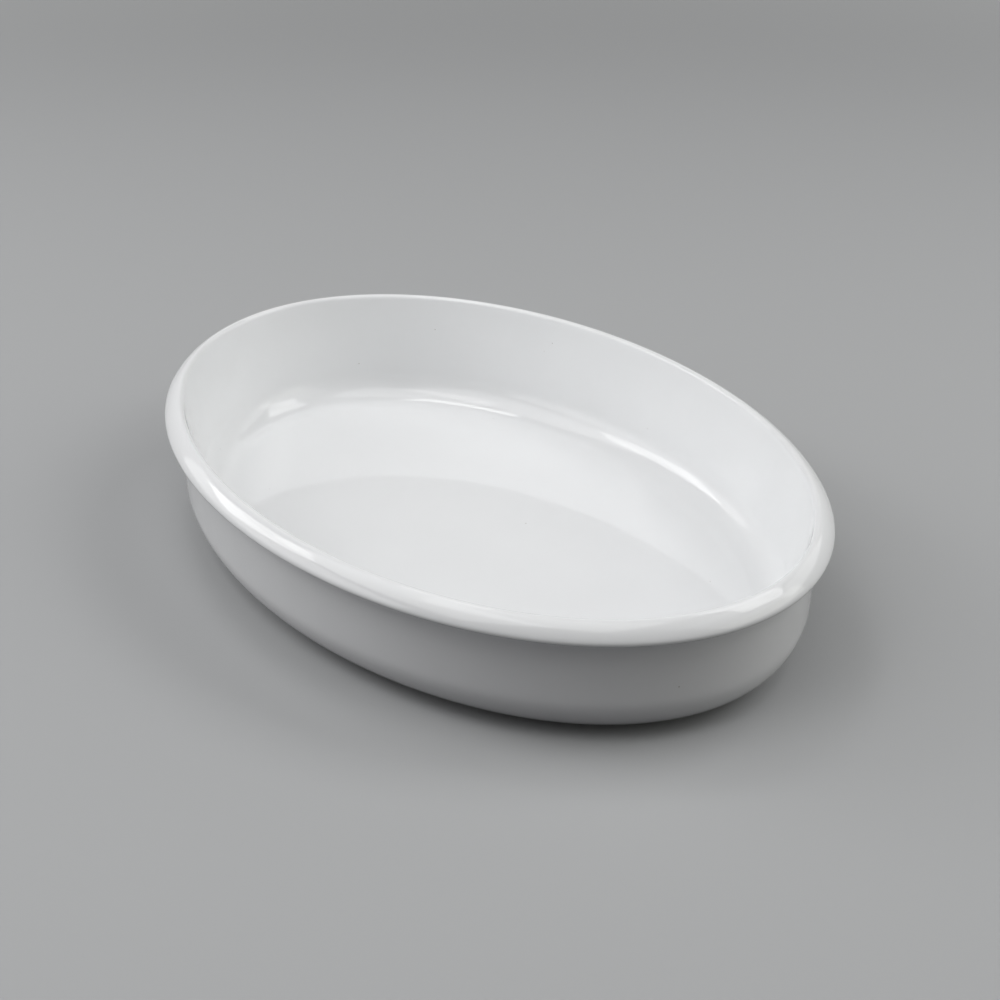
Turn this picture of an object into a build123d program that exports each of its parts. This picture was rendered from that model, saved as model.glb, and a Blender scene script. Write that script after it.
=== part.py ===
from build123d import *
import math
import os

# Oval gratin dish: a fired clay body, the glaze fused over it, and the glazed patch under its floor.
# The frame's origin is the middle of the footprint on the table. +X is the long way, +Y the short way.
# All lengths are in millimetres and all angles in degrees.

# Whole dish, measured over the glaze
length = 300.0
width = 210.0
height = 52.0

# Rolled rim: a gently rounded crown slopes out and down from the inner lip to the outer one
rim_width = 7.7
crown_radius = 12.0
crown_drop = 5.8
lip_radius = 1.5
inner_lip_radius = 1.6
rim_overhang = 5.3
cove_radius = 2.0

# Outer wall and the round corner under it
outer_draft = 1.6
corner_radius = 19.0
foot_clearance = 0.6

# Inside of the dish
inner_draft = 9.5
floor_fillet_radius = 14.0
floor_thickness = 4.9

# Bare foot ring under the round corner
foot_width = 6.0
foot_flank = 1.2
recess_depth = 1.6

# Glaze
glaze_thickness = 0.4
glaze_stop_angle = 74.0
patch_margin = 1.4

# Two points closer than this are the same point
seam_tolerance = 0.001

half_length = length / 2
half_width = width / 2


def direction(angle):
    """Unit vector in the profile's plane, from the outward way towards the upward way."""
    return (math.cos(math.radians(angle)), math.sin(math.radians(angle)))


def along(centre, radius, angle):
    """The point at a radius from a centre, in the direction of an angle."""
    out, up = direction(angle)
    return (centre[0] + radius * out, centre[1] + radius * up)


def tangent_centre(start, reach, angle, height_of_centre):
    """Centre, at a known height, of an arc that a wall joins to the arc about start.

    The wall's normal has the given angle. reach is how far apart the two centres
    lie along that normal.
    """
    out, up = direction(angle)
    return (start[0] + (reach - (height_of_centre - start[1]) * up) / out, height_of_centre)


def covering_centre(outer, outer_reach, inner, inner_reach):
    """Centre of an arc that touches the arcs about two centres and lies over both.

    Each reach is how far the wanted centre lies from that arc's centre.
    """
    gap = math.dist(outer, inner)
    share = (outer_reach ** 2 - inner_reach ** 2 + gap ** 2) / (2 * gap ** 2)
    depth = math.sqrt(outer_reach ** 2 - (share * gap) ** 2) / gap
    out, up = inner[0] - outer[0], inner[1] - outer[1]
    return (outer[0] + share * out - depth * up, outer[1] + share * up + depth * out)


def angle_between(centre, point):
    """Direction from a centre to a point, as an angle from the outward way."""
    return math.degrees(math.atan2(point[1] - centre[1], point[0] - centre[0]))


# Centres of the profile's arcs, as distances out from the rim's widest line and up from the table.
# Clay and glaze share the centres, so the skin has one thickness all round.
lip_centre = (-lip_radius, height - crown_drop)
inner_lip_centre = (inner_lip_radius - rim_width, height - inner_lip_radius)
crown_centre = covering_centre(
    lip_centre, crown_radius - lip_radius, inner_lip_centre, crown_radius - inner_lip_radius
)
crown_start = angle_between(crown_centre, lip_centre)
crown_end = angle_between(crown_centre, inner_lip_centre)
rim_underside = height - crown_drop - lip_radius
cove_centre = (cove_radius - rim_overhang, rim_underside - cove_radius)
floor_top = recess_depth + floor_thickness

outer_normal = -outer_draft
inner_normal = 180 - inner_draft
corner_centre = tangent_centre(
    cove_centre, -(cove_radius + corner_radius), outer_normal, foot_clearance + corner_radius
)
fillet_centre = tangent_centre(
    inner_lip_centre, inner_lip_radius + floor_fillet_radius, inner_normal, floor_top + floor_fillet_radius
)

# The glaze ends on the round corner, and the foot's flank starts there and slopes in to the table.
glaze_line = along(corner_centre, corner_radius - glaze_thickness, -glaze_stop_angle)
foot_outer_edge = (glaze_line[0] - foot_flank, 0)
foot_inner_edge = (foot_outer_edge[0] - foot_width, 0)
recess_edge = (foot_inner_edge[0] - foot_flank, recess_depth + glaze_thickness)


def rim_line():
    """The rim's widest line, which every section is carried along."""
    return Wire([Edge.make_ellipse(half_length, half_width)])


def place(point):
    """A point of the section, set up on the long axis at the dish's +X end."""
    return Vector(half_length + point[0], 0, point[1])


def straight(start, end):
    """A straight stretch of the section."""
    return Edge.make_line(place(start), place(end))


def arc(centre, radius, start, end):
    """A round stretch of the section, between two angles about its centre."""
    stops = [along(centre, radius, angle) for angle in (start, (start + end) / 2, end)]
    return Edge.make_three_point_arc(*[place(stop) for stop in stops])


def wall_section(skin):
    """The section's outline from the foot up the outside, over the rim and down to the floor.

    skin is the depth below the glaze's surface: nothing for the glaze itself, its
    thickness for the clay. Round edges lose it and hollows gain it.
    """
    corner = (corner_centre, corner_radius - skin)
    cove = (cove_centre, cove_radius + skin)
    lip = (lip_centre, lip_radius - skin)
    crown = (crown_centre, crown_radius - skin)
    inner_lip = (inner_lip_centre, inner_lip_radius - skin)
    fillet = (fillet_centre, floor_fillet_radius + skin)
    return [
        arc(*corner, -glaze_stop_angle, outer_normal),
        straight(along(*corner, outer_normal), along(*cove, 180 + outer_normal)),
        arc(*cove, 180 + outer_normal, 90),
        straight(along(*cove, 90), along(*lip, -90)),
        arc(*lip, -90, crown_start),
        arc(*crown, crown_start, crown_end),
        arc(*inner_lip, crown_end, inner_normal),
        straight(along(*inner_lip, inner_normal), along(*fillet, 180 + inner_normal)),
        arc(*fillet, 180 + inner_normal, 270),
    ]


def end_loop(skin, end_point):
    """The closed edge of a swept skin that passes through a point."""
    loops = [edge for edge in skin.edges() if edge.is_closed and edge.distance_to(end_point) < seam_tolerance]
    return Wire([loops[0]])


def swept_solid(*stretches):
    """Carry stretches of the section round the oval.

    Flat faces close the first and the last end, and flat rings join one stretch to the next.
    """
    outlines = [Wire(stretch) for stretch in stretches]
    skins = [Shell.sweep(outline, rim_line()) for outline in outlines]
    starts = [end_loop(skin, outline @ 0) for skin, outline in zip(skins, outlines)]
    ends = [end_loop(skin, outline @ 1) for skin, outline in zip(skins, outlines)]
    faces = [face for skin in skins for face in skin.faces()]
    faces += [Face(starts[0]), Face(ends[-1])]
    faces += [Face(wider, [narrower]) for narrower, wider in zip(ends, starts[1:])]
    return Solid(Shell(Face.sew_faces(faces)[0]))


def ceramic_body():
    """The fired clay: foot ring, wall, rolled rim and floor in one pressed piece.

    The flat of the foot is the ring that joins its inner flank to its outer one.
    """
    inner_flank = [straight(recess_edge, foot_inner_edge)]
    outer_flank = [straight(foot_outer_edge, glaze_line)]
    return swept_solid(inner_flank, outer_flank + wall_section(glaze_thickness))


def glaze_coat():
    """The glassy skin over the inside, the rim and the outside, down to the glaze line above the foot."""
    clay_side = wall_section(glaze_thickness)
    air_side = wall_section(0)
    glaze_edge = Edge.make_line(clay_side[0] @ 0, air_side[0] @ 0)
    return swept_solid(clay_side[::-1] + [glaze_edge] + air_side)


def underside_glaze():
    """The glaze patch on the underside of the floor, inside the foot ring, with a sloping edge."""
    clay_side = (recess_edge[0] - patch_margin, recess_edge[1])
    air_side = (clay_side[0] - glaze_thickness, recess_depth)
    return swept_solid([straight(clay_side, air_side)])


def build():
    """Every piece of the dish by the name of its node."""
    return {
        "ceramic_body": ceramic_body(),
        "glaze_coat": glaze_coat(),
        "underside_glaze": underside_glaze(),
    }


if __name__ == "__main__":
    os.makedirs("parts", exist_ok=True)
    for name, piece in build().items():
        piece.label = name
        export_step(piece, f"parts/{name}.step")
        print(name, "volume", round(piece.volume), "cubic mm")
    print("middle of the foot's flat", half_length + (foot_inner_edge[0] + foot_outer_edge[0]) / 2)
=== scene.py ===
"""An oval gratin dish of pressed, glazed and fired clay, standing on a plain studio floor."""
import logging
import math
from dataclasses import dataclass, field, replace
from enum import Enum
from typing import Any, ClassVar

import bpy
from mathutils import Matrix, Vector


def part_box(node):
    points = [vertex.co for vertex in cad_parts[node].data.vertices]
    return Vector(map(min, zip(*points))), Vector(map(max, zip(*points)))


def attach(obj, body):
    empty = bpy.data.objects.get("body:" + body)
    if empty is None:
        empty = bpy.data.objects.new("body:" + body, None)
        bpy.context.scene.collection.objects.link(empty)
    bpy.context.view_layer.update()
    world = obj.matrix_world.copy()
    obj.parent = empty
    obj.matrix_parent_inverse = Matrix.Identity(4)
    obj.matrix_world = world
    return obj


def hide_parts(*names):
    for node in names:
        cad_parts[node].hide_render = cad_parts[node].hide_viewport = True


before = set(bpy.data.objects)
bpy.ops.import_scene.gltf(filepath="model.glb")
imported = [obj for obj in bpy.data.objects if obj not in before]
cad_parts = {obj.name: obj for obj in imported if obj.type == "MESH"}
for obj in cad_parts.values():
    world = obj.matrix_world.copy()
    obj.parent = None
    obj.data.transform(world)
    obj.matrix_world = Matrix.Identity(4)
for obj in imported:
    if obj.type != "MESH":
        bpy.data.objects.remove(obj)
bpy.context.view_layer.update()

LOG = logging.getLogger("gratin_dish")
MM = 0.001
# Fewest steps in any round of the section
FEWEST_STEPS = 4
ROOT_BODY = "root"
BACKDROP = "#A6A7A7"
UPWARD = Vector((0.0, 0.0, 1.0))

Point = tuple[float, float]
Colour = tuple[float, float, float, float]
Node = bpy.types.Node
Outputs = bpy.types.NodeOutputs
Socket = bpy.types.NodeSocket
Tree = bpy.types.NodeTree


class Slot(Enum):
    """The record's material slots."""

    FIRED_CLAY = "fired_clay"
    WHITE_GLAZE = "white_glaze"


class Skin(Enum):
    """Which side of the glaze a line of the section follows, as a share of the glaze's thickness."""

    AIR = 0.0
    CLAY = 1.0


def linear(hex_colour: str) -> Colour:
    """Turn an sRGB colour into the linear one that Blender works in.

    Args:
        hex_colour: The colour as "#RRGGBB".

    Returns:
        Red, green, blue and alpha, each from 0 to 1.
    """
    shares = [int(hex_colour[i : i + 2], 16) / 255 for i in (1, 3, 5)]
    red, green, blue = (s / 12.92 if s <= 0.04045 else ((s + 0.055) / 1.055) ** 2.4 for s in shares)
    return (red, green, blue, 1.0)


def add_node(tree: Tree, kind: str, inputs: dict[str, Any] | None = None, **settings: Any) -> Node:
    """Add a node to a tree, with its settings, its values and its incoming links.

    Args:
        tree: The shader or geometry tree.
        kind: The node's type.
        inputs: By socket identifier, a value to set or an output socket to link.
        **settings: The node's own properties.

    Returns:
        The node.
    """
    made = tree.nodes.new(kind)
    for name, value in settings.items():
        setattr(made, name, value)
    sockets = {socket.identifier: socket for socket in made.inputs}
    for identifier, value in (inputs or {}).items():
        if isinstance(value, Socket):
            tree.links.new(value, sockets[identifier])
        else:
            sockets[identifier].default_value = value
    return made


def output(node: Node, identifier: str) -> Socket:
    """A node's output socket, found by its identifier."""
    return next(socket for socket in node.outputs if socket.identifier == identifier)


def seen_ray(tree: Tree) -> Socket:
    """Tell the rays that the eye follows, also by mirror and glass, from those that only carry light.

    Args:
        tree: A material's or the world's tree.

    Returns:
        A socket that is 1 for such a ray and 0 for any other.
    """
    path = add_node(tree, "ShaderNodeLightPath").outputs
    seen = path["Is Camera Ray"]
    for ray in ("Is Glossy Ray", "Is Transmission Ray"):
        both = {"Value": seen, "Value_001": path[ray]}
        seen = add_node(tree, "ShaderNodeMath", both, operation="ADD").outputs["Value"]
    return seen


class Finish:
    """What every finish shares: a material of its own name around the shader that it adds."""

    name: ClassVar[str]

    def shader(self, tree: Tree) -> Node:
        """Add the finish's nodes to a tree.

        Args:
            tree: The material's tree.

        Returns:
            The last shader node.
        """
        raise NotImplementedError

    def material(self) -> bpy.types.Material:
        """Build the material.

        Returns:
            A node material that reads nothing but the object and its mesh.
        """
        made = bpy.data.materials.new(self.name)
        made.use_nodes = True
        made.node_tree.nodes.clear()
        surface = self.shader(made.node_tree).outputs[0]
        add_node(made.node_tree, "ShaderNodeOutputMaterial", {"Surface": surface})
        return made


@dataclass(frozen=True)
class OpacifiedGlaze(Finish):
    """White zircon-opacified glaze, dipped over fired clay and fired to a glassy gloss.

    To the eye: an even white with sharp reflections on a slightly wavy skin, faint clouds
    where the dip lay thicker, and a rare pinprick of iron. Real pinpricks are too fine to show at
    this size, so they are drawn about twice as coarse.
    """

    name: ClassVar[str] = "white_opacified_glaze_dipped"
    base: str = "#F2F3F4"
    thick: str = "#EDEEEF"
    speck: str = "#A9A59C"
    roughness: float = 0.05
    ior: float = 1.5
    cloud_mm: float = 38.0
    cloud_detail: float = 3.0
    speck_spacing_mm: float = 13.0
    speck_radius_mm: float = 0.32
    speck_core_share: float = 1 / 3
    peel_mm: float = 5.0
    peel_detail: float = 1.0
    peel_height_mm: float = 0.012

    def colour(self, tree: Tree, place: Socket) -> Socket:
        """Cloud the white where the dip lay thicker, and dot it with specks.

        Args:
            tree: The material's tree.
            place: Object coordinates.

        Returns:
            The glaze's colour.
        """
        clouds = {"Vector": place, "Scale": 1 / (self.cloud_mm * MM), "Detail": self.cloud_detail}
        cloud = add_node(tree, "ShaderNodeTexNoise", clouds).outputs["Fac"]
        tones = {"Factor_Float": cloud, "A_Color": linear(self.base), "B_Color": linear(self.thick)}
        white = output(add_node(tree, "ShaderNodeMix", tones, data_type="RGBA"), "Result_Color")
        cells = {"Vector": place, "Scale": 1 / (self.speck_spacing_mm * MM)}
        distance = add_node(tree, "ShaderNodeTexVoronoi", cells).outputs["Distance"]
        reach = self.speck_radius_mm / self.speck_spacing_mm
        fade = {"Value": distance, "From Min": reach, "From Max": reach * self.speck_core_share}
        dot = add_node(tree, "ShaderNodeMapRange", fade).outputs["Result"]
        specked = {"Factor_Float": dot, "A_Color": white, "B_Color": linear(self.speck)}
        return output(add_node(tree, "ShaderNodeMix", specked, data_type="RGBA"), "Result_Color")

    def shader(self, tree: Tree) -> Node:
        """Glass over white: clouds and specks in the colour, the dip's fine peel in the normal.

        Args:
            tree: The material's tree.

        Returns:
            The shader node of the glaze.
        """
        place = add_node(tree, "ShaderNodeTexCoord").outputs["Object"]
        peels = {"Vector": place, "Scale": 1 / (self.peel_mm * MM), "Detail": self.peel_detail}
        peel = add_node(tree, "ShaderNodeTexNoise", peels).outputs["Fac"]
        bump = add_node(tree, "ShaderNodeBump", {"Distance": self.peel_height_mm * MM, "Height": peel})
        return add_node(
            tree,
            "ShaderNodeBsdfPrincipled",
            {
                "Base Color": self.colour(tree, place),
                "Roughness": self.roughness,
                "IOR": self.ior,
                "Normal": bump.outputs["Normal"],
            },
        )


@dataclass(frozen=True)
class BareFiredClay(Finish):
    """Unglazed fired stoneware clay, wiped clean at the foot.

    To the eye: dull, dry and off-white, with a fine grit that takes no reflection. Real grit is too
    fine to show at this size, so it is drawn about twice as coarse.
    """

    name: ClassVar[str] = "bare_fired_stoneware_clay"
    body: str = "#D6CDBF"
    grit: str = "#B7AA98"
    roughness: float = 0.85
    grit_mm: float = 0.9
    grit_detail: float = 4.0
    grit_height_mm: float = 0.06

    def shader(self, tree: Tree) -> Node:
        """Rough clay: the same grit gives the colour its grain and the surface its tooth.

        Args:
            tree: The material's tree.

        Returns:
            The shader node of the clay.
        """
        place = add_node(tree, "ShaderNodeTexCoord").outputs["Object"]
        grains = {"Vector": place, "Scale": 1 / (self.grit_mm * MM), "Detail": self.grit_detail}
        grain = add_node(tree, "ShaderNodeTexNoise", grains).outputs["Fac"]
        tones = {"Factor_Float": grain, "A_Color": linear(self.body), "B_Color": linear(self.grit)}
        tone = add_node(tree, "ShaderNodeMix", tones, data_type="RGBA")
        bump = add_node(tree, "ShaderNodeBump", {"Distance": self.grit_height_mm * MM, "Height": grain})
        return add_node(
            tree,
            "ShaderNodeBsdfPrincipled",
            {
                "Base Color": output(tone, "Result_Color"),
                "Roughness": self.roughness,
                "Normal": bump.outputs["Normal"],
            },
        )


@dataclass(frozen=True)
class MattFloor(Finish):
    """Matt paper of a studio floor: pale to the eye, while it sends little light back under the dish.

    Past the ring where the lamps hang it fades into the backdrop, so that no dark horizon shows.
    """

    name: ClassVar[str] = "matt_studio_paper"
    shown: str = "#B0B1B2"
    lighting: str = "#707072"
    fade_start: float = 0.6
    fade_end: float = 1.2

    def shader(self, tree: Tree) -> Node:
        """Diffuse paper that camera, mirror and glass rays see pale, and far off as the backdrop.

        Args:
            tree: The material's tree.

        Returns:
            The shader node that joins what is seen to what gives light.
        """
        place = add_node(tree, "ShaderNodeTexCoord").outputs["Object"]
        reach = add_node(tree, "ShaderNodeVectorMath", {"Vector": place}, operation="LENGTH").outputs["Value"]
        fade = add_node(
            tree,
            "ShaderNodeMapRange",
            {"Value": reach, "From Min": self.fade_start, "From Max": self.fade_end},
            interpolation_type="SMOOTHSTEP",
        ).outputs["Result"]
        pale = add_node(tree, "ShaderNodeBsdfDiffuse", {"Color": linear(self.shown)}).outputs["BSDF"]
        far = add_node(tree, "ShaderNodeEmission", {"Color": linear(BACKDROP)}).outputs["Emission"]
        shown = add_node(tree, "ShaderNodeMixShader", {"Fac": fade, "Shader": pale, "Shader_001": far})
        dull = add_node(tree, "ShaderNodeBsdfDiffuse", {"Color": linear(self.lighting)}).outputs["BSDF"]
        return add_node(
            tree,
            "ShaderNodeMixShader",
            {"Fac": seen_ray(tree), "Shader": dull, "Shader_001": shown.outputs["Shader"]},
        )


@dataclass(frozen=True)
class Arc:
    """A round stretch of the section: its centre as (out, up), and its radius."""

    centre: Point
    radius: float

    def at(self, degrees: float) -> Point:
        """The arc's point in a direction, from the outward way towards the upward way."""
        turn = math.radians(degrees)
        return (self.centre[0] + self.radius * math.cos(turn), self.centre[1] + self.radius * math.sin(turn))

    def angle_to(self, point: Point) -> float:
        """Direction from the arc's centre to a point, in degrees."""
        return math.degrees(math.atan2(point[1] - self.centre[1], point[0] - self.centre[0]))

    def points(self, start: float, end: float, spacing: float) -> list[Point]:
        """Sample the arc.

        Args:
            start: First direction in degrees.
            end: Last direction in degrees.
            spacing: Longest step along the arc, in metres.

        Returns:
            The points, both ends included.
        """
        length = abs(math.radians(end - start)) * self.radius
        steps = max(FEWEST_STEPS, math.ceil(length / spacing))
        return [self.at(start + (end - start) * i / steps) for i in range(steps + 1)]


def straight(start: Point, end: Point, spacing: float) -> list[Point]:
    """Sample a straight stretch of the section without its two ends.

    Args:
        start: Where it starts, as (out, up).
        end: Where it ends.
        spacing: Longest step, in metres.

    Returns:
        The points between the two ends.
    """
    steps = max(1, math.ceil(math.dist(start, end) / spacing))
    shares = [i / steps for i in range(1, steps)]
    return [(start[0] + (end[0] - start[0]) * s, start[1] + (end[1] - start[1]) * s) for s in shares]


def soften(corners: list[Point], reach: float, steps: int = FEWEST_STEPS) -> list[Point]:
    """Round the inner corners of a line of straight stretches.

    Args:
        corners: The line's ends and corners, as (out, up).
        reach: How far from a corner its round starts, in metres.
        steps: Steps in each round.

    Returns:
        The line's points, both ends included.
    """
    line = [corners[0]]
    for before, corner, after in zip(corners, corners[1:], corners[2:]):
        spot = Vector(corner)
        start = spot + (Vector(before) - spot).normalized() * reach
        end = spot + (Vector(after) - spot).normalized() * reach
        for t in (i / steps for i in range(steps + 1)):
            line.append(tuple(start.lerp(spot, t).lerp(spot.lerp(end, t), t)))
    return line + [corners[-1]]


@dataclass(frozen=True)
class DishSection:
    """The dish's section, in metres and degrees.

    Out is measured from the rim's widest line, up from the table. The solids have the same sizes,
    but for the rounds at the foot and at the glaze's end, which are too small for them.
    """

    half_length: float
    half_width: float
    height: float
    glaze: float
    recess: float
    rim_width: float = 7.7 * MM
    crown_radius: float = 12.0 * MM
    crown_drop: float = 5.8 * MM
    lip_radius: float = 1.5 * MM
    inner_lip_radius: float = 1.6 * MM
    rim_overhang: float = 5.3 * MM
    cove_radius: float = 2.0 * MM
    outer_draft: float = 1.6
    corner_radius: float = 19.0 * MM
    foot_clearance: float = 0.6 * MM
    inner_draft: float = 9.5
    fillet_radius: float = 14.0 * MM
    floor_thickness: float = 4.9 * MM
    foot_width: float = 6.0 * MM
    foot_flank: float = 1.2 * MM
    glaze_stop_angle: float = 74.0
    patch_margin: float = 1.4 * MM
    foot_round: float = 0.7 * MM
    glaze_round: float = 0.25 * MM
    spacing: float = 1.2 * MM

    @classmethod
    def from_frame(cls) -> "DishSection":
        """Read the outer sizes and the glaze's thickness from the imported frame.

        Returns:
            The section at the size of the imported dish.
        """
        low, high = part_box("glaze_coat")
        clay_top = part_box("ceramic_body")[1].z
        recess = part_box("underside_glaze")[0].z
        return cls(max(high.x, -low.x), max(high.y, -low.y), high.z, high.z - clay_top, recess)

    def tangent_centre(self, start: Point, reach: float, angle: float, up: float) -> Point:
        """Find the centre of an arc that a wall joins to the arc about another centre.

        Args:
            start: The known centre.
            reach: How far apart the two centres lie along the wall's normal.
            angle: Direction of that normal, in degrees.
            up: Height of the wanted centre.

        Returns:
            The wanted centre.
        """
        turn = math.radians(angle)
        return (start[0] + (reach - (up - start[1]) * math.sin(turn)) / math.cos(turn), up)

    def crown_centre(self, lip: Point, inner_lip: Point) -> Point:
        """Find the centre of the rim's crown, an arc that lies over both lips and touches them.

        Args:
            lip: Centre of the outer lip's arc.
            inner_lip: Centre of the inner lip's arc.

        Returns:
            The crown's centre.
        """
        reach, inner_reach = self.crown_radius - self.lip_radius, self.crown_radius - self.inner_lip_radius
        gap = math.dist(lip, inner_lip)
        share = (reach**2 - inner_reach**2 + gap**2) / (2 * gap**2)
        depth = math.sqrt(reach**2 - (share * gap) ** 2) / gap
        out, up = inner_lip[0] - lip[0], inner_lip[1] - lip[1]
        return (lip[0] + share * out - depth * up, lip[1] + share * up + depth * out)

    def arcs(self, skin: Skin) -> dict[str, Arc]:
        """Place the section's arcs: round edges lose the skin, hollows gain it.

        Args:
            skin: The side of the glaze.

        Returns:
            The arcs by name, from the corner at the foot to the fillet at the floor.
        """
        depth = self.glaze * skin.value
        lip = (-self.lip_radius, self.height - self.crown_drop)
        inner_lip = (self.inner_lip_radius - self.rim_width, self.height - self.inner_lip_radius)
        cove = (self.cove_radius - self.rim_overhang, lip[1] - self.lip_radius - self.cove_radius)
        corner = self.tangent_centre(
            cove,
            -(self.cove_radius + self.corner_radius),
            -self.outer_draft,
            self.foot_clearance + self.corner_radius,
        )
        fillet = self.tangent_centre(
            inner_lip,
            self.inner_lip_radius + self.fillet_radius,
            180 - self.inner_draft,
            self.recess + self.floor_thickness + self.fillet_radius,
        )
        return {
            "corner": Arc(corner, self.corner_radius - depth),
            "cove": Arc(cove, self.cove_radius + depth),
            "lip": Arc(lip, self.lip_radius - depth),
            "crown": Arc(self.crown_centre(lip, inner_lip), self.crown_radius - depth),
            "inner_lip": Arc(inner_lip, self.inner_lip_radius - depth),
            "fillet": Arc(fillet, self.fillet_radius + depth),
        }

    def wall(self, skin: Skin) -> list[Point]:
        """Draw the line from the glaze's edge up the outside, over the rim and down to the floor.

        Args:
            skin: The side of the glaze.

        Returns:
            The line's points, as (out, up).
        """
        arcs = self.arcs(skin)
        out, inn = -self.outer_draft, 180 - self.inner_draft
        crown_start, crown_end = (arcs["crown"].angle_to(arcs[name].centre) for name in ("lip", "inner_lip"))
        line = arcs["corner"].points(-self.glaze_stop_angle, out, self.spacing)
        line += straight(line[-1], arcs["cove"].at(180 + out), self.spacing)
        line += arcs["cove"].points(180 + out, 90, self.spacing)
        line += straight(line[-1], arcs["lip"].at(-90), self.spacing)
        line += arcs["lip"].points(-90, crown_start, self.spacing)
        line += arcs["crown"].points(crown_start, crown_end, self.spacing)[1:]
        line += arcs["inner_lip"].points(crown_end, inn, self.spacing)[1:]
        line += straight(line[-1], arcs["fillet"].at(180 + inn), self.spacing)
        line += arcs["fillet"].points(180 + inn, 270, self.spacing)
        return line

    def foot(self) -> list[Point]:
        """Draw the bare clay's line from the recess, round the foot ring, to the glaze line.

        Returns:
            The line's points, as (out, up).
        """
        stop = self.wall(Skin.CLAY)[0]
        outer = (stop[0] - self.foot_flank, 0.0)
        inner = (outer[0] - self.foot_width, 0.0)
        recess = (inner[0] - self.foot_flank, self.recess + self.glaze)
        return soften([recess, inner, outer, stop], self.foot_round)

    def glaze_end(self) -> list[Point]:
        """The glaze's rounded end above the foot, without the clay's point and the wall's next one."""
        wall = self.wall(Skin.AIR)
        return soften([self.wall(Skin.CLAY)[0], wall[0], wall[1]], self.glaze_round)[1:-1]

    def patch_edge(self) -> list[Point]:
        """Place the edge of the glaze patch under the floor.

        Returns:
            The edge's air side, then its clay side, as (out, up).
        """
        recess = self.foot()[0]
        clay = (recess[0] - self.patch_margin, recess[1])
        return [(clay[0] - self.glaze, self.recess), clay]


@dataclass
class SectionLine:
    """A section as stations, each with its place and how the sweep treats it.

    Attributes:
        places: (out, up) of each station.
        traits: For each station, three values from 0 to 1. Reach is 1 on the wall and falls to 0 where
            the floor's rings close in the middle. Ripple is 1 where the glaze's skin shows.
            Edge is 1 at the glaze's hand-wiped end.
    """

    places: list[Point] = field(default_factory=list)
    traits: list[tuple[float, float, float]] = field(default_factory=list)

    def add(self, places: list[Point], ripple: float = 0.0, edge: float = 0.0) -> None:
        """Add stations of one kind on the wall.

        Args:
            places: Their (out, up).
            ripple: Whether the glaze ripples there, 1 or 0.
            edge: Whether they are at the glaze's hand-wiped end, 1 or 0.
        """
        self.places += places
        self.traits += [(1.0, ripple, edge)] * len(places)

    def add_floor(self, start: Point, rings: int, inward: bool, ripple: float = 0.0) -> None:
        """Add the flat rings between the wall and the middle of the floor.

        Args:
            start: Where the floor meets the wall, as (out, up).
            rings: How many rings the floor has.
            inward: Whether the line runs to the middle, or comes from it.
            ripple: Whether the glaze ripples there, 1 or 0.
        """
        shares = [1 - i / rings for i in range(1, rings + 1)]
        self.places += [start] * rings
        self.traits += [(share, ripple, 0.0) for share in (shares if inward else shares[::-1])]

    def to_object(self, name: str) -> bpy.types.Object:
        """Make a wire object of the stations, with their traits as an attribute.

        Args:
            name: The object's name.

        Returns:
            The object, linked to the scene.
        """
        mesh = bpy.data.meshes.new(name)
        stations = [(out, 0.0, up) for out, up in self.places]
        mesh.from_pydata(stations, [(i, i + 1) for i in range(len(stations) - 1)], [])
        traits = mesh.attributes.new("traits", "FLOAT_VECTOR", "POINT")
        traits.data.foreach_set("vector", [value for station in self.traits for value in station])
        made = bpy.data.objects.new(name, mesh)
        bpy.context.scene.collection.objects.link(made)
        return made


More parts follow.
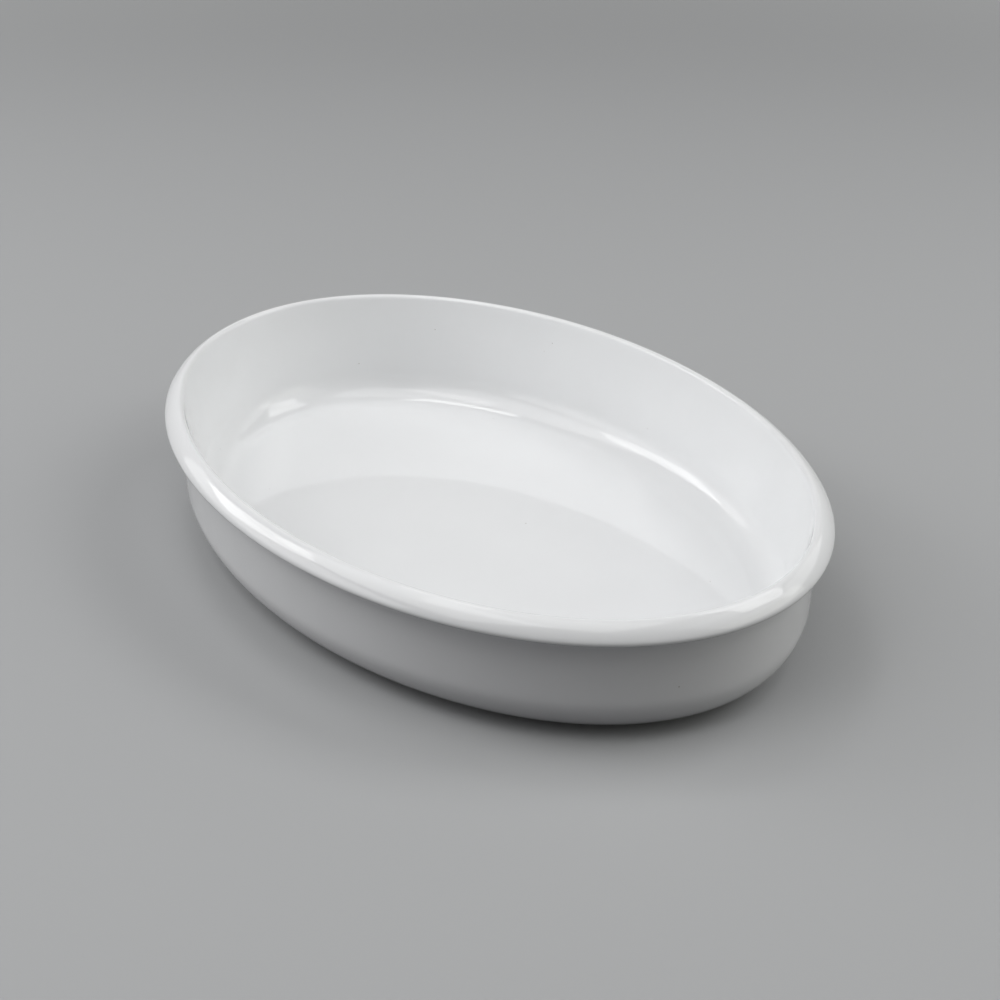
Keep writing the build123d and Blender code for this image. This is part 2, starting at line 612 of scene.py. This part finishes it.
@dataclass(frozen=True)
class OvalSweep:
    """Geometry Nodes that carry a section round the oval and ripple its glaze.

    Attributes:
        half_length: Half the rim's length.
        half_width: Half the rim's width.
        edge_way: Way, as (out, up), that the glaze's end draws back over the clay.
        slices: Steps round the oval.
        ripple_height: Deepest that the glaze's waves go, always inwards.
        ripple_size: Width of a wave.
        ripple_detail: How many finer waves lie on each wave.
        ripple_roughness: How strong those finer waves are in the skin.
        edge_draw: Farthest that the glaze's end draws back.
        weld: Points closer than this become one, which closes the middle of the floor.
        seed: Picks the waves.
        tube_size: Radius and height of the tube before its points are moved.
    """

    half_length: float
    half_width: float
    edge_way: Point
    slices: int = 336
    ripple_height: float = 0.12 * MM
    ripple_size: float = 22.0 * MM
    ripple_detail: float = 2.0
    ripple_roughness: float = 0.35
    edge_draw: float = 0.45 * MM
    weld: float = 0.001 * MM
    seed: int = 11
    tube_size: ClassVar[float] = 1.0

    def values(self, material: bpy.types.Material) -> dict[str, tuple[str, Any]]:
        """List the tree's named inputs.

        Args:
            material: What the swept surface is made of.

        Returns:
            Socket type and value of each input, by its name.
        """
        return {
            "Half Length": ("NodeSocketFloat", self.half_length),
            "Half Width": ("NodeSocketFloat", self.half_width),
            "Edge Way": ("NodeSocketVector", (self.edge_way[0], 0.0, self.edge_way[1])),
            "Slices": ("NodeSocketInt", self.slices),
            "Ripple Height": ("NodeSocketFloat", self.ripple_height),
            "Ripple Size": ("NodeSocketFloat", self.ripple_size),
            "Edge Draw": ("NodeSocketFloat", self.edge_draw),
            "Weld": ("NodeSocketFloat", self.weld),
            "Seed": ("NodeSocketInt", self.seed),
            "Material": ("NodeSocketMaterial", material),
        }

    def tube(self, tree: Tree, given: Outputs, here: Socket) -> tuple[Socket, Socket]:
        """Make a tube with a ring of points for each station of the section.

        Args:
            tree: The geometry tree.
            given: The tree's inputs.
            here: Each point's place on the tube.

        Returns:
            The tube, and the number of each point's ring.
        """
        size = add_node(tree, "GeometryNodeAttributeDomainSize", {"Geometry": given["Section"]})
        fewer = {"Value": size.outputs["Point Count"], "Value_001": 1.0}
        steps = add_node(tree, "ShaderNodeMath", fewer, operation="SUBTRACT").outputs["Value"]
        tube = add_node(
            tree,
            "GeometryNodeMeshCylinder",
            {
                "Vertices": given["Slices"],
                "Side Segments": steps,
                "Radius": self.tube_size,
                "Depth": self.tube_size,
            },
            fill_type="NONE",
        ).outputs["Mesh"]
        rise = add_node(tree, "ShaderNodeSeparateXYZ", {"Vector": here}).outputs["Z"]
        top = self.tube_size / 2
        count = {"Value": rise, "From Min": -top, "From Max": top, "To Max": steps}
        place = add_node(tree, "ShaderNodeMapRange", count).outputs["Result"]
        ring = add_node(tree, "ShaderNodeMath", {"Value": place}, operation="ROUND").outputs["Value"]
        return tube, ring

    def oval(self, tree: Tree, given: Outputs, here: Socket) -> tuple[Socket, Socket]:
        """Find the rim's ellipse and the level way out from it.

        Args:
            tree: The geometry tree.
            given: The tree's inputs.
            here: Each point's place on the tube.

        Returns:
            The place of each point's slice on the rim's line, and the way out there.
        """
        long, short = given["Half Length"], given["Half Width"]
        pairs = ((long, short), (short, long))
        stretches = [add_node(tree, "ShaderNodeCombineXYZ", {"X": x, "Y": y}) for x, y in pairs]
        rim, slope = (
            add_node(
                tree,
                "ShaderNodeVectorMath",
                {"Vector": here, "Vector_001": stretch.outputs["Vector"]},
                operation="MULTIPLY",
            ).outputs["Vector"]
            for stretch in stretches
        )
        outward = add_node(tree, "ShaderNodeVectorMath", {"Vector": slope}, operation="NORMALIZE")
        return rim, outward.outputs["Vector"]

    def draw_back(self, tree: Tree, given: Outputs, rim: Socket, place: Socket, edge: Socket) -> Socket:
        """Draw the glaze's hand-wiped end back unevenly over the clay.

        Args:
            tree: The geometry tree.
            given: The tree's inputs.
            rim: The place of each point's slice on the rim's line.
            place: The place of its station on the section.
            edge: Whether that station is at the glaze's end, 1 or 0.

        Returns:
            The station's place, drawn back at the glaze's end.
        """
        inverse = {"Value": 1.0, "Value_001": given["Ripple Size"]}
        scale = add_node(tree, "ShaderNodeMath", inverse, operation="DIVIDE").outputs["Value"]
        wander = {"Vector": rim, "W": given["Seed"], "Scale": scale, "Detail": self.ripple_detail}
        draw = add_node(tree, "ShaderNodeTexNoise", wander, noise_dimensions="4D").outputs["Fac"]
        for factor in (given["Edge Draw"], edge):
            pair = {"Value": draw, "Value_001": factor}
            draw = add_node(tree, "ShaderNodeMath", pair, operation="MULTIPLY").outputs["Value"]
        back = {"Vector": given["Edge Way"], "Scale": draw}
        drawn = add_node(tree, "ShaderNodeVectorMath", back, operation="SCALE").outputs["Vector"]
        moved = {"Vector": place, "Vector_001": drawn}
        return add_node(tree, "ShaderNodeVectorMath", moved, operation="ADD").outputs["Vector"]

    def spot(self, tree: Tree, place: Socket, rim: Socket, outward: Socket, reach: Socket) -> Socket:
        """Find each point's place on the dish.

        Args:
            tree: The geometry tree.
            place: The place of the point's station on the section.
            rim: The place of its slice on the rim's line.
            outward: The level way out there.
            reach: 1 on the wall, less where the point is drawn to the middle.

        Returns:
            The point's place.
        """
        out, _, up = add_node(tree, "ShaderNodeSeparateXYZ", {"Vector": place}).outputs
        height = add_node(tree, "ShaderNodeCombineXYZ", {"Z": up}).outputs["Vector"]
        level = {"Vector": outward, "Vector_001": out, "Vector_002": rim}
        spread = add_node(tree, "ShaderNodeVectorMath", level, operation="MULTIPLY_ADD").outputs["Vector"]
        raised = {"Vector": spread, "Vector_001": reach, "Vector_002": height}
        return add_node(tree, "ShaderNodeVectorMath", raised, operation="MULTIPLY_ADD").outputs["Vector"]

    def waves(self, tree: Tree, given: Outputs) -> Socket:
        """Press the fired glaze's waves in along the normal.

        Args:
            tree: The geometry tree.
            given: The tree's inputs.

        Returns:
            How far and which way each point moves.
        """
        inverse = {"Value": 1.0, "Value_001": given["Ripple Size"]}
        scale = add_node(tree, "ShaderNodeMath", inverse, operation="DIVIDE").outputs["Value"]
        wave = {
            "W": given["Seed"],
            "Scale": scale,
            "Detail": self.ripple_detail,
            "Roughness": self.ripple_roughness,
        }
        depth = add_node(tree, "ShaderNodeTexNoise", wave, noise_dimensions="4D").outputs["Fac"]
        mask = add_node(tree, "GeometryNodeInputNamedAttribute", {"Name": "ripple"}, data_type="FLOAT")
        for factor in (mask.outputs["Attribute"], given["Ripple Height"]):
            pair = {"Value": depth, "Value_001": factor}
            depth = add_node(tree, "ShaderNodeMath", pair, operation="MULTIPLY").outputs["Value"]
        normal = add_node(tree, "GeometryNodeInputNormal").outputs["Normal"]
        back = {"Vector": normal, "Scale": -1.0}
        inward = add_node(tree, "ShaderNodeVectorMath", back, operation="SCALE").outputs["Vector"]
        push = {"Vector": inward, "Scale": depth}
        return add_node(tree, "ShaderNodeVectorMath", push, operation="SCALE").outputs["Vector"]

    def tree(self, material: bpy.types.Material) -> Tree:
        """Build the tree: a tube with a ring per station, each ring moved to its place on the dish.

        Args:
            material: What the swept surface is made of.

        Returns:
            The geometry tree, with the section as its geometry input.
        """
        tree = bpy.data.node_groups.new("oval_sweep", "GeometryNodeTree")
        tree.interface.new_socket("Section", in_out="INPUT", socket_type="NodeSocketGeometry")
        for name, (kind, _) in self.values(material).items():
            tree.interface.new_socket(name, in_out="INPUT", socket_type=kind)
        tree.interface.new_socket("Piece", in_out="OUTPUT", socket_type="NodeSocketGeometry")
        given = add_node(tree, "NodeGroupInput").outputs
        here = add_node(tree, "GeometryNodeInputPosition").outputs["Position"]
        shape, ring = self.tube(tree, given, here)

        # What the section says at each ring's station
        traits = {"Name": "traits"}
        stored = add_node(tree, "GeometryNodeInputNamedAttribute", traits, data_type="FLOAT_VECTOR")
        place, found = (
            add_node(
                tree,
                "GeometryNodeSampleIndex",
                {"Geometry": given["Section"], "Value": value, "Index": ring},
                data_type="FLOAT_VECTOR",
            ).outputs["Value"]
            for value in (here, stored.outputs["Attribute"])
        )
        reach, ripple, edge = add_node(tree, "ShaderNodeSeparateXYZ", {"Vector": found}).outputs

        # The tube's points go to their places, close in the middle and take the glaze's waves
        rim, outward = self.oval(tree, given, here)
        drawn = self.draw_back(tree, given, rim, place, edge)
        marking = {"data_type": "FLOAT", "domain": "POINT"}
        for kind, inputs, settings in (
            ("GeometryNodeStoreNamedAttribute", {"Name": "ripple", "Value": ripple}, marking),
            ("GeometryNodeSetPosition", {"Position": self.spot(tree, drawn, rim, outward, reach)}, {}),
            ("GeometryNodeMergeByDistance", {"Distance": given["Weld"]}, {}),
            ("GeometryNodeSetPosition", {"Offset": self.waves(tree, given)}, {}),
            ("GeometryNodeSetShadeSmooth", {}, {}),
            ("GeometryNodeRealizeInstances", {}, {}),
            ("GeometryNodeSetMaterial", {"Material": given["Material"]}, {}),
        ):
            shape = add_node(tree, kind, {"Geometry": shape, **inputs}, **settings).outputs["Geometry"]
        tree.links.new(shape, add_node(tree, "NodeGroupOutput").inputs["Piece"])
        return tree

    def carry(self, line: SectionLine, name: str, material: bpy.types.Material) -> bpy.types.Object:
        """Carry a section round the oval and keep the result as a plain mesh.

        Args:
            line: The section.
            name: Name of the finished piece.
            material: Its material.

        Returns:
            The finished piece, with no modifier left on it.
        """
        wire = line.to_object(name + "_section")
        modifier = wire.modifiers.new("sweep", "NODES")
        modifier.node_group = self.tree(material)
        values = self.values(material)
        for socket in modifier.node_group.interface.items_tree:
            if socket.name in values:
                modifier[socket.identifier] = values[socket.name][1]
        graph = bpy.context.evaluated_depsgraph_get()
        mesh = bpy.data.meshes.new_from_object(wire.evaluated_get(graph))
        mesh.name = name
        wire.modifiers.remove(modifier)
        bpy.data.objects.remove(wire)
        piece = bpy.data.objects.new(name, mesh)
        bpy.context.scene.collection.objects.link(piece)
        return piece


@dataclass
class DishPiece:
    """What the dish's three pieces share.

    Attributes:
        section: The section that they follow.
        sweep: What carries it round the oval.
        shown_rings: Rings on the side of a floor that shows.
        hidden_rings: Rings on the side of a floor where clay and glaze meet.
    """

    section: DishSection
    sweep: OvalSweep
    shown_rings: int = 60
    hidden_rings: int = 15

    def build(self) -> bpy.types.Object:
        """Make the piece, as its own class says."""
        raise NotImplementedError

    def finish(self, piece: bpy.types.Object, node: str, slot: Slot) -> bpy.types.Object:
        """Put a finished piece in the place of its CAD node.

        Args:
            piece: The finished piece.
            node: Name of the CAD node that it stands for.
            slot: The record's material slot that the piece stands for; not used.

        Returns:
            The same piece.
        """
        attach(piece, ROOT_BODY)
        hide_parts(node)
        return piece


class CeramicBody(DishPiece):
    """The fired clay: only its foot ring shows, the rest lies under the glaze."""

    def build(self) -> bpy.types.Object:
        """Make the clay body.

        Returns:
            The finished piece.
        """
        foot = self.section.foot()
        wall = self.section.wall(Skin.CLAY)
        line = SectionLine()
        line.add_floor(foot[0], self.shown_rings, inward=False)
        line.add(foot[:-1] + wall)
        line.add_floor(wall[-1], self.hidden_rings, inward=True)
        piece = self.sweep.carry(line, "ceramic_body_clay", BareFiredClay().material())
        return self.finish(piece, "ceramic_body", Slot.FIRED_CLAY)


class GlazeCoat(DishPiece):
    """The glassy skin over the inside, the rim and the outside, down to its end above the foot."""

    def build(self) -> bpy.types.Object:
        """Make the glaze coat.

        Returns:
            The finished piece.
        """
        clay = self.section.wall(Skin.CLAY)[::-1]
        air = self.section.wall(Skin.AIR)
        line = SectionLine()
        line.add_floor(clay[0], self.hidden_rings, inward=False)
        line.add(clay[:-1])
        line.add([clay[-1]] + self.section.glaze_end(), edge=1.0)
        line.add(air[1:], ripple=1.0)
        line.add_floor(air[-1], self.shown_rings, inward=True, ripple=1.0)
        piece = self.sweep.carry(line, "glaze_coat_skin", OpacifiedGlaze().material())
        return self.finish(piece, "glaze_coat", Slot.WHITE_GLAZE)


class UndersideGlaze(DishPiece):
    """The patch of glaze on the underside of the floor, inside the foot ring."""

    def build(self) -> bpy.types.Object:
        """Make the patch.

        Returns:
            The finished piece.
        """
        air_edge, clay_edge = self.section.patch_edge()
        line = SectionLine()
        line.add_floor(air_edge, self.shown_rings, inward=False, ripple=1.0)
        line.add([air_edge], ripple=1.0)
        line.add([clay_edge])
        line.add_floor(clay_edge, self.hidden_rings, inward=True)
        piece = self.sweep.carry(line, "underside_glaze_patch", OpacifiedGlaze().material())
        return self.finish(piece, "underside_glaze", Slot.WHITE_GLAZE)


@dataclass(frozen=True)
class ViewPoint:
    """The camera's place, as the photograph's perspective gives it.

    Attributes:
        azimuth: Direction that the camera looks from, in degrees.
        elevation: Its angle above the floor, in degrees.
        distance: How far it stands from the point that it aims at.
        aim: That point on the floor: to the right and away, seen from the camera.
        focal_length: Lens in millimetres on a square frame.
        frame_size: Side of that frame in millimetres.
        roll: Tilt of the frame, in degrees.
        clip: Nearest and farthest that the camera sees.
    """

    azimuth: float = 49.238
    elevation: float = 30.374
    distance: float = 0.75
    aim: tuple[float, float] = (0.0071, 0.0374)
    focal_length: float = 65.72
    frame_size: float = 36.0
    roll: float = 0.32
    clip: tuple[float, float] = (0.01, 50.0)

    def way(self, bearing: float, elevation: float) -> Vector:
        """Unit vector to a bearing, turned clockwise from straight away of the camera, and an elevation."""
        turn, tilt = math.radians(bearing - self.azimuth), math.radians(elevation)
        return Vector((math.sin(turn) * math.cos(tilt), math.cos(turn) * math.cos(tilt), math.sin(tilt)))

    def place_camera(self) -> bpy.types.Object:
        """Make the camera and set it as the scene's.

        Returns:
            The camera.
        """
        back = self.way(180.0, self.elevation)
        level = self.way(90.0, 0.0)
        upright = back.cross(level)
        roll = math.radians(self.roll)
        right = level * math.cos(roll) + upright * math.sin(roll)
        up = upright * math.cos(roll) - level * math.sin(roll)
        data = bpy.data.cameras.new("camera")
        data.sensor_width = self.frame_size
        data.lens = self.focal_length
        data.clip_start, data.clip_end = self.clip
        camera = bpy.data.objects.new("camera", data)
        bpy.context.scene.collection.objects.link(camera)
        spot = level * self.aim[0] + self.way(0.0, 0.0) * self.aim[1] + back * self.distance
        camera.matrix_world = Matrix.Translation(spot) @ Matrix((right, up, back)).transposed().to_4x4()
        bpy.context.scene.camera = camera
        return camera


@dataclass(frozen=True)
class SoftBox:
    """One soft lamp of the studio, which faces the dish.

    Attributes:
        name: The lamp's name.
        bearing: Where it stands, turned clockwise from straight away of the camera, in degrees.
        elevation: Its angle above the floor, in degrees.
        size: Its width and height.
        brightness: How bright its cloth looks, as a multiple of white.
        lean: How far its upright side leans to the left, seen from the dish, in degrees.
        distance: How far it stands from the dish.
        colour: The colour of its light.
    """

    name: str
    bearing: float
    elevation: float
    size: tuple[float, float]
    brightness: float
    lean: float = 0.0
    distance: float = 1.3
    colour: str = "#FFFFFF"

    def light(self, view: ViewPoint, aim: Vector) -> None:
        """Hang the lamp.

        Args:
            view: The camera's view, which the bearing is counted from.
            aim: The point that it faces.
        """
        way = view.way(self.bearing, self.elevation)
        level = way.cross(UPWARD).normalized()
        upright = level.cross(way)
        lean = math.radians(self.lean)
        side = level * math.cos(lean) + upright * math.sin(lean)
        data = bpy.data.lights.new(self.name, "AREA")
        data.shape = "RECTANGLE"
        data.size, data.size_y = self.size
        # A flat lamp sends out pi watts for each square metre at the brightness of white
        data.energy = math.pi * data.size * data.size_y * self.brightness
        data.color = linear(self.colour)[:3]
        lamp = bpy.data.objects.new(self.name, data)
        bpy.context.scene.collection.objects.link(lamp)
        turn = Matrix((side, way.cross(side), way)).transposed()
        lamp.matrix_world = Matrix.Translation(aim + way * self.distance) @ turn.to_4x4()
        lamp.visible_camera = False


@dataclass(frozen=True)
class FillBox(SoftBox):
    """A wide, dim softbox that stands farther off and only fills the shadows."""

    distance: float = 1.5


# The glaze mirrors the three softboxes as the dish's highlights. The fill boxes shade it.
LAMPS = (
    SoftBox("left_softbox", bearing=-76.3, elevation=30.8, size=(0.6, 0.4), brightness=3.4, lean=-54.0),
    FillBox("low_left_softbox", bearing=-90.0, elevation=20.0, size=(2.0, 0.65), brightness=1.4),
    FillBox("front_left_softbox", bearing=-108.0, elevation=54.0, size=(1.4, 0.9), brightness=1.7),
    FillBox("front_softbox", bearing=-150.0, elevation=76.0, size=(1.2, 0.9), brightness=1.6),
    SoftBox("overhead_softbox", bearing=-41.7, elevation=68.3, size=(0.24, 0.27), brightness=4.5, lean=-20.0),
    FillBox("front_right_softbox", bearing=112.0, elevation=42.0, size=(1.0, 0.7), brightness=0.9),
    FillBox(
        "low_right_softbox",
        bearing=104.0,
        elevation=20.0,
        size=(1.3, 0.6),
        brightness=1.3,
        colour="#FFFFF6",
    ),
    SoftBox("right_softbox", bearing=79.7, elevation=50.2, size=(0.85, 0.48), brightness=3.2, lean=-43.0),
    FillBox("side_softbox", bearing=67.5, elevation=27.0, size=(1.1, 0.5), brightness=1.2),
)


@dataclass(frozen=True)
class Studio:
    """The floor, the lamps and the light of the room.

    Attributes:
        view: The camera's view, which the lamps' bearings are counted from.
        lamps: The lamps.
        floor_size: Side of the floor.
        room: Colour of the dim room, which the glaze mirrors between the lamps.
        wall_fade: Sine of the elevation up to which the backdrop is pale all round.
        wall_end: Sine of the elevation above which only the room shows.
        aim_height: Height of the point that the lamps face.
    """

    view: ViewPoint
    lamps: tuple[SoftBox, ...] = LAMPS
    floor_size: float = 8.0
    room: str = "#242425"
    wall_fade: float = 0.3
    wall_end: float = 0.5
    aim_height: float = 0.03

    def lay_floor(self) -> None:
        """Lay the paper floor that the dish stands on."""
        half = self.floor_size / 2
        corners = [(-half, -half, 0), (half, -half, 0), (half, half, 0), (-half, half, 0)]
        mesh = bpy.data.meshes.new("floor")
        mesh.from_pydata(corners, [], [(0, 1, 2, 3)])
        paper = MattFloor().material()
        # Its far tone is for the eye alone and isn't a lamp to aim light rays at
        paper.cycles.emission_sampling = "NONE"
        mesh.materials.append(paper)
        floor = bpy.data.objects.new("floor", mesh)
        bpy.context.scene.collection.objects.link(floor)

    def light_room(self) -> None:
        """Fill the room with its dim light and stand the pale backdrop low around it."""
        world = bpy.data.worlds.new("room")
        world.use_nodes = True
        tree = world.node_tree
        tree.nodes.clear()
        glow = add_node(tree, "ShaderNodeBackground", {"Color": linear(self.room)}).outputs["Background"]
        wall = add_node(tree, "ShaderNodeBackground", {"Color": linear(BACKDROP)}).outputs["Background"]
        way = add_node(tree, "ShaderNodeTexCoord").outputs["Object"]
        rise = add_node(tree, "ShaderNodeSeparateXYZ", {"Vector": way}).outputs["Z"]
        low = add_node(
            tree,
            "ShaderNodeMapRange",
            {"Value": rise, "From Min": self.wall_end, "From Max": self.wall_fade},
            interpolation_type="SMOOTHSTEP",
        ).outputs["Result"]
        seen = {"Value": seen_ray(tree), "Value_001": low}
        shown = add_node(tree, "ShaderNodeMath", seen, operation="MULTIPLY").outputs["Value"]
        both = add_node(tree, "ShaderNodeMixShader", {"Fac": shown, "Shader": glow, "Shader_001": wall})
        add_node(tree, "ShaderNodeOutputWorld", {"Surface": both.outputs["Shader"]})
        bpy.context.scene.world = world

    def build(self) -> None:
        """Lay the floor, hang the lamps and light the room."""
        self.lay_floor()
        for lamp in self.lamps:
            lamp.light(self.view, UPWARD * self.aim_height)
        self.light_room()
        bpy.context.scene.view_settings.view_transform = "Standard"


def report(piece: bpy.types.Object) -> None:
    """Log how many faces a finished piece has and how far it reaches along each axis."""
    reach = [max(abs(corner[axis]) for corner in piece.bound_box) / MM for axis in range(3)]
    LOG.info("%s: %d faces, reaches %.2f, %.2f, %.2f mm", piece.name, len(piece.data.polygons), *reach)


def main() -> None:
    """Build the dish piece by piece, then the studio and the camera."""
    logging.basicConfig(level=logging.INFO, format="%(name)s: %(message)s")
    section = DishSection.from_frame()
    stop = math.radians(section.glaze_stop_angle)
    glazed = OvalSweep(section.half_length, section.half_width, (math.sin(stop), math.cos(stop)))
    bare = replace(glazed, ripple_height=0.0, edge_draw=0.0)
    for part in (CeramicBody(section, bare), GlazeCoat(section, glazed), UndersideGlaze(section, glazed)):
        report(part.build())
    view = ViewPoint()
    Studio(view).build()
    view.place_camera()


if __name__ == "__main__":
    main()
